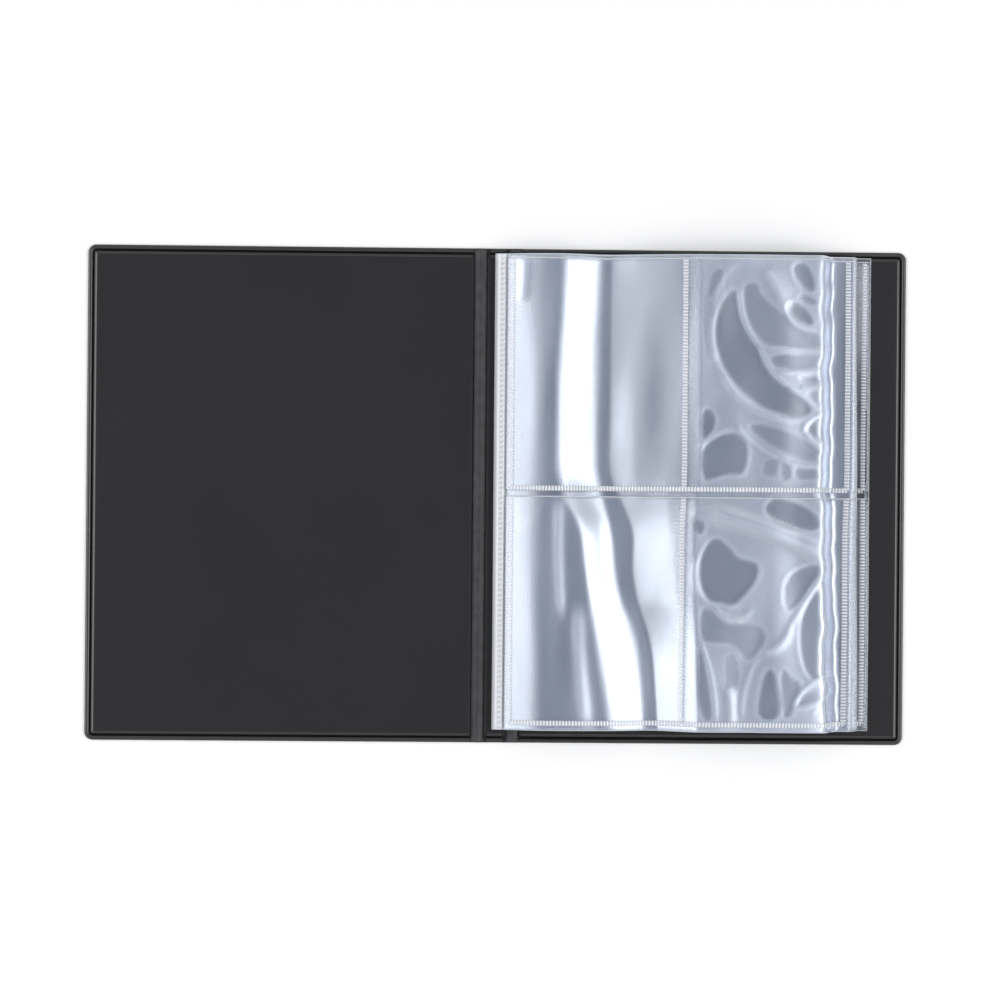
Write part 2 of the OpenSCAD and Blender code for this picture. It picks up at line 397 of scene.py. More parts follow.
def padded_panel(name, x0, x1, hinge_x0, hinge_x1):
    """A closed vinyl panel: the rim profile carried round its outline, with a flat face under and over it.

    hinge_x0 and hinge_x1 say which ends lie at a gutter, where the rim is narrow and the corners are square.
    """
    rings = []
    for inset, at_hinge, height in RIM:
        round_r = max(CORNER_R - inset, LEAST_R)
        rings.append(rounded_ring(
            x0 + (at_hinge if hinge_x0 else inset),
            x1 - (at_hinge if hinge_x1 else inset),
            COVER_HALF_H - inset,
            LEAST_R if hinge_x0 else round_r,
            LEAST_R if hinge_x1 else round_r,
            height,
        ))
    rings = np.stack(rings)
    count = rings.shape[1]
    ring_index = np.concatenate([np.arange(count), [0]])
    index = np.arange(len(rings))[:, None] * count + ring_index[None, :]
    corners = [index[:-1, :-1], index[:-1, 1:], index[1:, 1:], index[1:, :-1]]
    quads = np.stack(corners, axis=-1).reshape(-1, 4)
    mesh = bpy.data.meshes.new(name)
    faces = quads.tolist()
    faces.append(list(range(count - 1, -1, -1)))
    faces.append(list(range((len(rings) - 1) * count, len(rings) * count)))
    mesh.from_pydata((rings.reshape(-1, 3) * MM).tolist(), [], faces)
    smooth = np.ones(len(mesh.polygons), dtype=bool)
    smooth[-2:] = False
    mesh.polygons.foreach_set("use_smooth", smooth)
    mesh.materials.append(vinyl)
    mesh.materials.append(welded_vinyl)
    mesh.materials.append(groove_shade_vinyl)
    row = np.arange(len(quads)) // count
    across = rings.reshape(-1, 3)[quads, 0].mean(axis=1)
    at_hinge = (hinge_x0 & (across < x0 + HINGE_BAND)) | (hinge_x1 & (across > x1 - HINGE_BAND))
    pressed = (row >= WELD_FROM) & (row < WELD_TO) & ~at_hinge
    # The groove rows take the near-black vinyl, painted shade in the recess
    groove = (row >= GROOVE_FROM) & (row < GROOVE_TO) & ~at_hinge
    finish = pressed.astype(np.int32) + groove.astype(np.int32)
    mesh.polygons.foreach_set("material_index", np.append(finish, [0, 0]).astype(np.int32))
    obj = bpy.data.objects.new(name, mesh)
    bpy.context.scene.collection.objects.link(obj)
    return obj


front_vinyl = padded_panel("front_cover_vinyl", -COVER_OUT, -COVER_IN, False, True)
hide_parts("front_skin", "front_lining")
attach(front_vinyl, "front_cover")
back_vinyl = padded_panel("back_cover_vinyl", COVER_IN, COVER_OUT, True, False)
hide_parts("back_skin", "back_lining")
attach(back_vinyl, "back_cover")
spine_vinyl = padded_panel("spine_vinyl", -SPINE_HALF, SPINE_HALF, True, True)
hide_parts("spine_skin", "spine_lining")
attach(spine_vinyl, "spine")
for node in ("front_board", "back_board", "spine_board"):
    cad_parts[node].data.materials.clear()
    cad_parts[node].data.materials.append(board)

# Hinge gutters

GUTTER_W = GUTTER_HIGH[0] - GUTTER_LOW[0]
GUTTER_STEP_X = 0.2
GUTTER_STEP_Y = 0.5
GUTTER_LAP = 0.35
KNURL_PITCH = 1.5
KNURL_HEIGHT = 0.07
KNURL_FADE = (0.1, 0.5)
GUTTER_SWELL = 0.22
GUTTER_FLAT = 0.25
GUTTER_RIM_W = 0.9
GUTTER_RIM = 0.35


def gutter_web(name, side):
    """The fused band beside the spine: low along both edges, swollen between, with fine pressed ribs."""
    across = np.arange(-GUTTER_LAP, GUTTER_W + GUTTER_LAP + GUTTER_STEP_X / 2, GUTTER_STEP_X)
    along = np.arange(-COVER_HALF_H, COVER_HALF_H + GUTTER_STEP_Y / 2, GUTTER_STEP_Y)
    s, y = np.meshgrid(across, along, indexing="ij")
    band = hill(s, GUTTER_W / 2, GUTTER_W / 2 - GUTTER_FLAT, GUTTER_W / 2 - GUTTER_FLAT)
    ribs = 0.5 + 0.5 * np.cos(2 * np.pi * y / KNURL_PITCH)
    edge = COVER_HALF_H - np.abs(y)
    rim = hill(edge, GUTTER_RIM_W, GUTTER_RIM_W, GUTTER_RIM_W) * GUTTER_RIM
    z = GUTTER_HIGH[2] + GUTTER_SWELL * band + KNURL_HEIGHT * ribs * ramp(band, *KNURL_FADE) + rim
    x = side * (COVER_IN - s)
    top = np.stack([x, y, z], axis=-1)
    if side > 0:
        top = top[::-1]
    points, quads = shell(top, z - GUTTER_LOW[2])
    return mesh_object(name, points, quads, pressed_web)


for side, body, node in ((-1, "front_cover", "front_hinge_gutter"), (1, "back_cover", "back_hinge_gutter")):
    web = gutter_web(node + "_web", side)
    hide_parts(node)
    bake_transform(web)

# Leaves

FILM_T = 0.08
DENSE = 0.5
BOW = 8.5
BOW_LOSS_TOP = 0.12
BOW_LOSS_FOOT = 0.34
FOLD_ROUNDS = 8
SLOPE_STEP = 0.1
PUFF = 0.3
PUFF_POWER = 0.7
PUFF_RISE = 18.0
PUFF_AT_FOOT = 0.7
# Haze added to the bottom leaf, a painted reflection that lightens its films over the black cover
LAST_LEAF_PAINTED_REFLECTION = 0.08
# Painted reflection beside the root of every leaf, at the top and at the foot of the page, and where it
# fades along the leaf
ROOT_REFLECTION_TOP = 0.25
ROOT_REFLECTION_FOOT = 0.75
ROOT_FADE = (7.0, 15.0)

# Where the bowed pile rises, levels out, starts to fall and has fallen, for its two humps: places along the
# page, in rows from the top of the upper pockets, over the middle seam, to the foot of the lower pockets
HUMP_Y = (95.0, 4.0, -8.0, -35.0, -55.0, -92.0)
FIRST_HUMP = (
    (1.5, 28.0, 23.0, 42.0),
    (1.5, 28.0, 20.0, 41.0),
    (1.5, 25.0, 31.0, 46.0),
    (1.5, 22.0, 34.0, 48.0),
    (1.5, 21.0, 37.0, 57.0),
    (1.5, 21.0, 43.0, 60.0),
)
SECOND_HUMP = (
    (44.0, 79.0, 126.0, 131.5),
    (44.0, 79.0, 126.0, 131.5),
    (54.0, 77.0, 126.5, 132.5),
    (53.0, 77.0, 127.0, 133.0),
    (61.0, 78.0, 127.0, 134.0),
    (64.0, 79.0, 127.5, 135.0),
)
HUMP_BLUR = 9.0
HUMP_TAPS = 7

# The first hump stays low beside the spine, so that the top leaf clears the front cover when it is turned
FIRST_SHARE = 0.58
CLIMB_EVEN = 0.9

# Creases pressed into the pile: start and end on the page (x, y), bend, half width and height
CREASES = (
    (78, -6, 127, -23, 2.0, 2.2, 0.75),
    (86, -4, 127, -18, 0.6, 1.3, 0.4),
    (95, 92, 84, 73, -2.8, 0.7, 0.15),
    (84, 73, 87, 48, -2.7, 0.7, 0.15),
    (94, 82, 102, 59, -2.6, 0.7, 0.15),
    (102, 59, 114, 43, -1.8, 0.7, 0.15),
    (114, 43, 125, 34, 0.7, 0.8, 0.15),
    (104, 58, 127, 57, 0.8, 0.8, 0.15),
    (109, 49, 127, 50, -0.2, 1.1, 0.2),
    (118, 43, 127, 43, 0.3, 0.7, 0.15),
    (104, 89, 112, 74, 0.7, 2.2, 0.3),
    (111, 75, 126, 66, -3.7, 0.8, 0.15),
    (119, 26, 127, 33, 1.3, 0.8, 0.15),
    (120, 25, 127, 18, -0.1, 0.7, 0.15),
    (87, 48, 113, 30, -3.8, 1.6, 0.3),
    (93, 28, 111, 15, -1.4, 0.9, 0.15),
    (111, 15, 127, 13, -1.6, 0.8, 0.15),
    (78, 19, 91, 27, 1.1, 0.7, 0.15),
    (78, -24, 85, -43, -4.2, 0.7, 0.15),
    (85, -43, 100, -44, -4.5, 1.2, 0.2),
    (128, -29, 115, -50, -0.4, 1.0, 0.2),
    (115, -50, 104, -61, 2.3, 1.4, 0.25),
    (104, -61, 96, -86, -2.3, 0.9, 0.15),
    (131, -69, 116, -82, -2.7, 0.6, 0.12),
    (116, -83, 131, -76, -1.5, 0.6, 0.12),
    (80, -57, 86, -87, 1.6, 0.7, 0.15),
    (91, -74, 92, -88, 0.3, 1.6, 0.3),
    (24, -2, 25, -46, -0.6, 1.6, 0.3),
    (32, -44, 35, -88, -0.7, 2.0, 0.32),
    (10, 93, 9, 77, 0.2, 1.6, 0.4),
)
CREASE_SHARE = (1.0, 0.85, 0.7, 0.5)
CREASE_REST = 0.5
CREASE_FLAT = 0.12
CREASE_WIDEN = 1.25
CREASE_RAISE = 1.15
CREASE_WHITEN = 1.4
CREASE_FADE = (-0.12, 0.14)
CREASE_SHIFT = 0.2
CELL_SHIFT = 0.3
RIPPLES = (46.0, 31.0, 19.0)
RIPPLE_SLOPE = 0.007
RIPPLE_TURN = 0.5
RIPPLE_FROM = 14.0
SURFACE_SEED = 100
HAZE_SEED = 300

# Cells of the outer column where the films cling together and look dark: strength and outline on the page
CELLS = (
    (1, (
        (85, 71.5), (88, 78.5), (92, 81.5), (93.5, 78), (94.5, 70), (98, 62.5), (103.5, 55.5),
        (106, 49.5), (110.5, 44.5), (119.5, 38.5), (122.5, 34.5), (120.5, 32), (112.5, 31),
        (103.5, 34.5), (96, 39), (90.5, 45.5), (86, 54.5), (84, 63),
    )),
    (0.55, (
        (95, 83), (100.5, 84), (101.5, 79), (108, 73.5), (117, 67), (124, 64), (126.5, 61),
        (125, 59), (118, 58), (105.5, 59), (100.5, 63), (96, 71.5),
    )),
    (0.9, (
        (114.5, 91), (118.5, 92), (121.5, 89), (123.5, 83), (122.5, 80.5), (119, 82), (115, 86.5),
    )),
    (0.7, (
        (116.5, 79), (120.5, 79), (124.5, 76.5), (123.5, 75.5), (118.5, 77),
    )),
    (0.95, (
        (112, 75.5), (115, 77), (119.5, 74), (123, 69), (121.5, 67.5), (117, 69), (113.5, 72),
    )),
    (0.6, (
        (105.5, 54), (109, 56), (118.5, 56), (126.5, 55.5), (126.5, 51), (121, 50.5), (109, 50.5),
    )),
    (0.7, (
        (116.5, 47), (121.5, 48), (126.5, 47.5), (126.5, 45.5), (121.5, 44.5),
    )),
    (0.5, (
        (119.5, 41), (126, 42.5), (127.5, 40), (125.5, 35.5), (123.5, 37),
    )),
    (0.95, (
        (119.5, 27.5), (123, 31), (127.5, 33), (127.5, 21.5), (123.5, 23),
    )),
    (0.55, (
        (97, 28), (102.5, 29), (112.5, 25.5), (121.5, 21.5), (126.5, 17.5), (127, 14.5),
        (120.5, 14.5), (112, 17.5), (103, 23),
    )),
    (1, (
        (79.5, 34.5), (83.5, 34), (85, 30), (84, 25.5), (79.5, 21.5),
    )),
    (0.9, (
        (79.5, 19.5), (85, 23.5), (91.5, 25.5), (95.5, 23.5), (97.5, 19), (96, 9), (90.5, 9.5),
        (85, 7.5), (79.5, 6.5),
    )),
    (0.35, (
        (103.5, 13), (108, 16), (109.5, 14.5), (109, 8.5), (104, 8.5),
    )),
    (0.55, (
        (110.5, 14.5), (114, 13.5), (114.5, 7.5), (110.5, 7),
    )),
    (0.55, (
        (116, 13.5), (121, 12), (127, 12), (126.5, 8), (116, 7),
    )),
    (0.5, (
        (83.5, 88.5), (88.5, 89.5), (86, 83), (82, 77.5), (81.5, 81),
    )),
    (0.95, (
        (104, -4), (107, -0.5), (110, 0), (117, -2), (124, -6), (126, -10), (124.5, -12.5),
        (118, -12.5), (110.5, -10.5), (106, -7.5),
    )),
    (1, (
        (78.5, -28), (80, -21.5), (83.5, -16.5), (87, -16), (91.5, -20.5), (94, -24), (101, -25),
        (102.5, -28.5), (100.5, -34), (97, -38), (92.5, -42.5), (87.5, -41), (83, -41),
        (79.5, -35.5),
    )),
    (0.8, (
        (111.5, -39.5), (113, -30.5), (119.5, -27), (128, -25), (127, -30), (121, -37.5), (114, -45),
    )),
    (0.75, (
        (128, -30.5), (129.5, -43), (129, -60), (130.5, -68), (125.5, -71), (121.5, -69.5),
        (118.5, -60), (118.5, -48), (121.5, -40),
    )),
    (0.6, (
        (79.5, -42.5), (85, -45), (94, -49.5), (101.5, -49), (105.5, -53), (104, -58.5), (99, -64),
        (95, -60.5), (91.5, -56.5), (83, -56.5), (79.5, -55),
    )),
    (0.8, (
        (79, -57.5), (81, -62.5), (83, -72.5), (85, -87), (81, -87), (78.5, -77.5),
    )),
    (0.35, (
        (89, -61.5), (93.5, -62), (94.5, -69), (94, -76), (89.5, -76),
    )),
    (0.9, (
        (105.5, -67.5), (108, -67), (109.5, -72.5), (111.5, -86.5), (102, -86.5), (103.5, -75),
    )),
    (0.6, (
        (111.5, -65.5), (114.5, -70.5), (119.5, -73), (116, -80), (115.5, -85), (112.5, -86),
        (110.5, -78.5),
    )),
    (0.5, (
        (117, -81.5), (118.5, -77.5), (125.5, -73.5), (130, -72.5), (129.5, -76), (123.5, -79.5),
    )),
    (0.5, (
        (124, -85), (130.5, -78), (131.5, -85), (128, -86.5),
    )),
    (0.9, (
        (77, -7), (80.5, -8), (81, -12), (79, -15), (76.5, -12),
    )),
)
CORNER_CUTS = 2
CUT_AT = 0.25
CELL_X = (70.0, 140.0)
CELL_Y = (-96.0, 99.0)
CELL_STEP = 0.4
CELL_SOFT = 0.9
LAST_CELL = 1.001
RIDGE_OUT = 1.0
RIDGE_HALF = 0.7
LOOSE_LIFT = 0.1
LOOSE_HAZE = 0.6
RIDGE_LIFT = 0.08
RIDGE_HAZE = 0.2
CELL_CLEAR = 0.15
LOOSE_FROM = (73.0, 80.0)
LOOSE_TO = (125.0, 131.0)


def cut_corners(outline):
    """An outline with its corners cut: each round keeps two points of a side, CUT_AT in from its ends."""
    points = np.array(outline, dtype=float)
    for _ in range(CORNER_CUTS):
        after = np.roll(points, -1, axis=0)
        first = (1 - CUT_AT) * points + CUT_AT * after
        second = CUT_AT * points + (1 - CUT_AT) * after
        points = np.stack([first, second], axis=1).reshape(-1, 2)
    return points


def outline_depth(x, y, outline):
    """Distance to the nearest side of an outline, positive inside it.

    A point is inside where a line from it to the right crosses an odd number of sides.
    """
    nearest = np.full(x.shape, np.inf)
    inside = np.zeros(x.shape, dtype=bool)
    for (x0, y0), (x1, y1) in zip(outline, np.roll(outline, -1, axis=0)):
        dx, dy = x1 - x0, y1 - y0
        t = np.clip(((x - x0) * dx + (y - y0) * dy) / (dx * dx + dy * dy), 0, 1)
        nearest = np.minimum(nearest, np.hypot(x - x0 - t * dx, y - y0 - t * dy))
        if dy:
            inside ^= ((y0 > y) != (y1 > y)) & (x < x0 + dx * (y - y0) / dy)
    return np.where(inside, nearest, -nearest)


def cling_fields():
    """Two grids over the outer column: how firmly the films cling, and the ridge round every cell."""
    x, y = np.meshgrid(np.arange(*CELL_X, CELL_STEP), np.arange(*CELL_Y, CELL_STEP), indexing="ij")
    cling, ridge = np.zeros_like(x), np.zeros_like(x)
    for strength, outline in CELLS:
        depth = outline_depth(x, y, cut_corners(outline))
        cling = np.maximum(cling, strength * ramp(depth, -CELL_SOFT, CELL_SOFT))
        ridge = np.maximum(ridge, strength * np.exp(-(((depth + RIDGE_OUT) / RIDGE_HALF) ** 2)))
    return cling, ridge


def field_value(field, x, y):
    """Value of a grid over the outer column at places on the page, mixed from the four nearest points."""
    i = np.clip((x - CELL_X[0]) / CELL_STEP, 0, field.shape[0] - LAST_CELL)
    j = np.clip((y - CELL_Y[0]) / CELL_STEP, 0, field.shape[1] - LAST_CELL)
    i0, j0 = i.astype(int), j.astype(int)
    f, g = i - i0, j - j0
    near = field[i0, j0] * (1 - f) + field[i0 + 1, j0] * f
    far = field[i0, j0 + 1] * (1 - f) + field[i0 + 1, j0 + 1] * f
    return near * (1 - g) + far * g


CLING_FIELDS = cling_fields()


def crease(x, y, line, widen):
    """A ridge of height 1 along a line bent by 4 bend t (1 - t): a Gaussian across it, faded at its ends."""
    x0, y0, x1, y1, bend, width, height = line
    dx, dy = x1 - x0, y1 - y0
    length = math.hypot(dx, dy)
    t = ((x - x0) * dx + (y - y0) * dy) / length**2
    off = ((x - x0) * -dy + (y - y0) * dx) / length - bend * 4 * t * (1 - t)
    return np.exp(-((off / (widen * width)) ** 2)) * ramp(t, *CREASE_FADE) * ramp(1 - t, *CREASE_FADE)


def hump_places(y, table):
    """The four places of a hump at heights y: rows joined by lines, averaged over HUMP_BLUR each way."""
    taps = np.linspace(-HUMP_BLUR, HUMP_BLUR, HUMP_TAPS)
    heights = -np.array(HUMP_Y)
    places = []
    for column in np.transpose(table):
        places.append(sum(np.interp(-(y + tap), heights, column) for tap in taps) / HUMP_TAPS)
    return places


# Puckers along the outer seams: how far the edge of the second hump wanders, and how often
PUCKER = 0.25
PUCKER_PITCHES = (37.0, 22.3, 11.9)
PUCKER_FROM = 108.0
PUCKER_TO = 124.0


def pile_form(x, y):
    """Bow of the pile over the page, from 0 to 1: the higher of two humps, one over each column.

    The first leaves the spine at its steepest and eases out. The second climbs evenly, and its outer edge
    wanders as a sum of sines.
    """
    rise, level, drop, end = hump_places(y, FIRST_HUMP)
    first = FIRST_SHARE * ease_out(x, rise, level) * ramp(-x, -end, -drop)
    rise, level, drop, end = hump_places(y, SECOND_HUMP)
    even = np.clip((x - rise) / (level - rise), 0, 1)
    climb = CLIMB_EVEN * even + (1 - CLIMB_EVEN) * ramp(x, rise, level)
    wander = sum(np.sin(2 * np.pi * y / pitch) for pitch in PUCKER_PITCHES)
    outer = x + PUCKER * wander * ramp(x, PUCKER_FROM, PUCKER_TO)
    return np.maximum(first, climb * ramp(-outer, -end, -drop))


def leaf_surface(n):
    """Points of the middle of leaf n, and how whitened each is, on a grid of DENSE steps along and up it.

    The bow is a height over the page, the same form for every leaf, so that no leaf passes through another.
    The distance from the spine is the integral of 1 / sqrt(1 + slope^2) along the leaf, found in a few
    rounds, so that each leaf keeps its flat width and a leaf that bows more ends further in. Creases, the
    ridges round the cells and slow ripples add height, and the first two whiten the film.
    """
    low, high = node_box(f"leaf_{n:02d}_back_film")
    a, y = np.meshgrid(np.arange(0, high[0] - low[0] + DENSE / 2, DENSE),
                       np.arange(low[1], high[1] + DENSE / 2, DENSE), indexing="ij")
    up = y[:1]
    flat = n == LEAF_COUNT
    below = (n - 1) / (LEAF_COUNT - 1)
    loss = BOW_LOSS_TOP + (BOW_LOSS_FOOT - BOW_LOSS_TOP) * ramp(-y, low[1], high[1])
    bow = 0 if flat else BOW * (1 - below * loss)
    x = low[0] + a
    for _ in range(FOLD_ROUNDS):
        slope = bow * (pile_form(x + SLOPE_STEP, up) - pile_form(x - SLOPE_STEP, up)) / (2 * SLOPE_STEP)
        step = DENSE / np.sqrt(1 + slope**2)
        x = low[0] + np.cumsum(step, axis=0) - step[:1]
    z = (low[2] + high[2]) / 2 + bow * pile_form(x, up)
    draws = np.random.default_rng(SURFACE_SEED + n)
    share = CREASE_SHARE[n - 1] if n <= len(CREASE_SHARE) else CREASE_REST
    if flat:
        share = CREASE_FLAT
    mark = np.zeros_like(z)
    for line in CREASES:
        place = x + draws.uniform(-CREASE_SHIFT, CREASE_SHIFT) * n
        z = z + share * CREASE_RAISE * line[-1] * crease(place, y, line, CREASE_WIDEN)
        mark = np.maximum(mark, share * crease(place, y, line, CREASE_WHITEN))
    place = x + draws.uniform(-CELL_SHIFT, CELL_SHIFT) * (n - 1)
    cling, ridge = (field_value(field, place, y) for field in CLING_FIELDS)
    loose = share * ramp(x, *LOOSE_FROM) * (1 - ramp(x, *LOOSE_TO))
    z = z + loose * (LOOSE_LIFT * (1 - cling) + RIDGE_LIFT * ridge)
    mark = np.maximum(mark, loose * (LOOSE_HAZE * (1 - cling) + RIDGE_HAZE * ridge))
    mark = mark - CELL_CLEAR * loose * cling
    for wave in RIPPLES:
        angle = draws.uniform(-RIPPLE_TURN, RIPPLE_TURN)
        phase = draws.uniform(0, 2 * np.pi)
        across = a * math.cos(angle) + y * math.sin(angle)
        z = z + ramp(a, 0, RIPPLE_FROM) * RIPPLE_SLOPE * wave * np.sin(2 * np.pi * across / wave + phase)
    return np.stack([x, y, z, mark], axis=-1)


def leaf_at(surface, along, up):
    """Points and whitening of a leaf at distances along and up it, mixed from the four nearest points."""
    i = np.clip(along / DENSE, 0, surface.shape[0] - LAST_CELL)
    j = np.clip((up - surface[0, 0, 1]) / DENSE, 0, surface.shape[1] - LAST_CELL)
    i0, j0 = i.astype(int)[:, None], j.astype(int)[None, :]
    f, g = (i[:, None] - i0)[..., None], (j[None, :] - j0)[..., None]
    near = surface[i0, j0] * (1 - f) + surface[i0 + 1, j0] * f
    far = surface[i0, j0 + 1] * (1 - f) + surface[i0 + 1, j0 + 1] * f
    mixed = near * (1 - g) + far * g
    return mixed[..., :3], mixed[..., 3]


def spaced(low, high, step):
    """Even values from low to high, about step apart."""
    return np.linspace(low, high, max(2, round((high - low) / step) + 1))


def pocket_puff(a, y, foot, mouth, seams):
    """How far a pocket film stands off its back film: 0 on the seams, fullest amid it and at its mouth."""
    left, middle, right = seams
    inner = np.sin(np.pi * np.clip((a - left) / (middle - left), 0, 1))
    outer = np.sin(np.pi * np.clip((a - middle) / (right - middle), 0, 1))
    column = np.abs(np.where(a < middle, inner, outer)) ** PUFF_POWER
    mouthward = PUFF_AT_FOOT + (1 - PUFF_AT_FOOT) * ramp(y, foot, mouth)
    return PUFF * column * ramp(y, foot, foot + PUFF_RISE) * mouthward


SEAM_W = 2.0
SEAM_RIB = 0.16
SEAM_PITCH = 1.25
RIB_STEPS = 4
RIB_EDGE = (-0.4, 0.6)
EDGE_W = 0.5
EDGE_PRESS = 0.3
EDGE_STEP_UP = 2.0
EDGE_STEP_ALONG = 1.0

# For the top leaf, the second and the rest: mesh steps of the pocket films, of the back film and across
# the seams, and how much the ribs of the seams whiten
LEAF_STEPS = ((0.6, 1.0, 0.5, 1.0), (0.9, 1.4, 0.5, 0.6), (1.4, 2.2, 1.0, 0.35))
LAST_WHITEN = 0.8


def seam_places(n):
    """Places of the seams on leaf n: three upright ones along the leaf, and two level ones up the page."""
    root = node_box(f"leaf_{n:02d}_back_film")[0][0]
    seam_low, seam_high = node_box(f"leaf_{n:02d}_seams")
    left = seam_low[0] - root + SEAM_W / 2
    right = seam_high[0] - root - SEAM_W / 2
    middle_y = node_box(f"leaf_{n:02d}_upper_film")[0][1] + SEAM_W / 2
    return (left, (left + right) / 2, right), middle_y, seam_low[1] + SEAM_W / 2


HAZE_WAVES = (62.0, 37.0, 23.0)
HAZE_MEAN = 0.14
HAZE_SWING = 0.14
HAZE_SPECK = 0.08


def film_haze(n, a, y):
    """Milky patches and scuffs on a film, from 0 to 1: slow crossing waves, broken up by speckle.

    Beside the root it adds a painted reflection, stronger towards the foot.
    """
    draws = np.random.default_rng(HAZE_SEED + n)
    slow = np.zeros_like(a)
    for wave in HAZE_WAVES:
        angle = draws.uniform(0, np.pi)
        phase = draws.uniform(0, 2 * np.pi)
        across = a * math.cos(angle) + y * math.sin(angle)
        slow = slow + np.sin(2 * np.pi * across / wave + phase) / len(HAZE_WAVES)
    down = ramp(-y, -LEAF_TOP, -LEAF_FOOT)
    # Painted reflection beside the root, stronger towards the foot
    root = (ROOT_REFLECTION_TOP * (1 - down) + ROOT_REFLECTION_FOOT * down) * (1 - ramp(a, *ROOT_FADE))
    return root + HAZE_MEAN + HAZE_SWING * slow + HAZE_SPECK * draws.random(a.shape) ** 3


def film_sheet(n, surface, name, y_low, y_high, lift, step, puff=None):
    """A film of leaf n between two heights on the page, lift above its middle, as a thin closed sheet."""
    along = spaced(0, (surface.shape[0] - 1) * DENSE, step)
    up = spaced(y_low, y_high, step)
    points, mark = leaf_at(surface, along, up)
    a, y = np.meshgrid(along, up, indexing="ij")
    rise = lift + (np.zeros_like(a) if puff is None else puff(a, y))
    shape, quads = shell(points + np.array([0, 0, 1]) * rise[..., None], FILM_T)
    # The bottom leaf gets more haze, a painted reflection of the dome that lightens its films over the black
    # cover
    extra = LAST_LEAF_PAINTED_REFLECTION if n == LEAF_COUNT else 0
    haze = np.clip(film_haze(n, a, y) + mark + extra, 0, 1).ravel()
    return mesh_object(name, shape, quads, film, haze=np.tile(haze, 2))


def upright_strip(surface, place, width, y_low, y_high, lift, rib=0, step=EDGE_W):
    """A strip up the page on a leaf, ribbed along its length if rib isn't 0, with mesh steps across it."""
    along = spaced(place - width / 2, place + width / 2, step)
    up = spaced(y_low, y_high, SEAM_PITCH / RIB_STEPS if rib else EDGE_STEP_UP)
    points = leaf_at(surface, along, up)[0]
    return ribbed(points, np.broadcast_to(up[None, :], points.shape[:2]), lift, rib)


def level_strip(surface, place, width, a_low, a_high, lift, rib=0, step=EDGE_W):
    """A strip along a leaf at one height on the page, ribbed along its length if rib isn't 0."""
    along = spaced(a_low, a_high, SEAM_PITCH / RIB_STEPS if rib else EDGE_STEP_ALONG)
    up = spaced(place - width / 2, place + width / 2, step)
    points = leaf_at(surface, along, up)[0]
    return ribbed(points, np.broadcast_to(along[:, None], points.shape[:2]), lift, rib)


def ribbed(points, along, lift, rib):
    """A closed strip over points, and its press value. It rises in rounded bars, one every SEAM_PITCH."""
    wave = np.full(along.shape, EDGE_PRESS)
    if rib:
        wave = ramp(np.cos(2 * np.pi * along / SEAM_PITCH), *RIB_EDGE)
    top = points + np.array([0, 0, 1]) * (lift + rib * wave)[..., None]
    shape, quads = shell(top, FILM_T + rib * wave)
    return shape, quads, np.concatenate([wave.ravel(), wave.ravel()])


def build_leaf(n):
    """All pieces of leaf n: back film, upper and lower pocket films, pressed seams and cut edges."""
    label = f"leaf_{n:02d}"
    fine, coarse, across, whiten = LEAF_STEPS[min(n, len(LEAF_STEPS)) - 1]
    if n == LEAF_COUNT:
        whiten = LAST_WHITEN
    surface = leaf_surface(n)
    boxes = {part: node_box(f"{label}_{part}") for part in ("back_film", "upper_film", "lower_film")}
    seams, middle_y, foot_y = seam_places(n)
    flat_z = (boxes["back_film"][0][2] + boxes["back_film"][1][2]) / 2
    gap = boxes["upper_film"][1][2] - flat_z
    width = boxes["back_film"][1][0] - boxes["back_film"][0][0]
    mouth = boxes["upper_film"][1][1]
    low_mouth = boxes["lower_film"][1][1]
    back = film_sheet(n, surface, label + "_back_sheet", LEAF_FOOT, LEAF_TOP, 0, coarse)
    upper = film_sheet(n, surface, label + "_upper_pockets", boxes["upper_film"][0][1], mouth, gap, fine,
                       lambda a, y: pocket_puff(a, y, middle_y, mouth, seams))
    lower = film_sheet(n, surface, label + "_lower_pockets", boxes["lower_film"][0][1], low_mouth, gap, fine,
                       lambda a, y: pocket_puff(a, y, foot_y, low_mouth, seams))
    parts = []
    for place in seams:
        parts.append(upright_strip(surface, place, SEAM_W, middle_y, mouth, gap, SEAM_RIB, across))
        parts.append(upright_strip(surface, place, SEAM_W, foot_y, low_mouth, gap, SEAM_RIB, across))
    for place in (middle_y, foot_y):
        parts.append(level_strip(surface, place, SEAM_W, seams[0], seams[2], gap, SEAM_RIB, across))
    parts.append(upright_strip(surface, width - EDGE_W / 2, EDGE_W, LEAF_FOOT, LEAF_TOP, gap / 2))
    parts.append(level_strip(surface, low_mouth - EDGE_W / 2, EDGE_W, seams[0], width, gap + PUFF))
    parts.append(level_strip(surface, mouth - EDGE_W / 2, EDGE_W, seams[0], width, gap + PUFF))
    parts.append(level_strip(surface, LEAF_TOP - EDGE_W / 2, EDGE_W, 0, width, 0))
    parts.append(level_strip(surface, LEAF_FOOT + EDGE_W / 2, EDGE_W, 0, width, gap / 2))
    points, quads, press = join(parts)
    pressed = mesh_object(label + "_pressed_seams", points, quads, weld, press=whiten * press)
    made = ((back, "back_film"), (upper, "upper_film"), (lower, "lower_film"), (pressed, "seams"))
    for piece, node in made:
        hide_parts(f"{label}_{node}")
        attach(piece, label)
        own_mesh(piece)


for number in range(1, LEAF_COUNT + 1):
    build_leaf(number)

# Binding

BIND_STEP = 0.4
BIND_PROFILE_STEPS = 33
BIND_WRAP = 0.18
BIND_INSET = 0.2
BIND_PRESS = 0.5
DOT_PITCH = 2.0
DOT_HEIGHT = 0.2
DOT_ANGLE = 0.3
DOT_EDGE = (-0.2, 0.7)
LAYER_HEIGHT = 0.04
LAYER_WAVES = 30
LAYER_FADE = (0.5, 0.9)


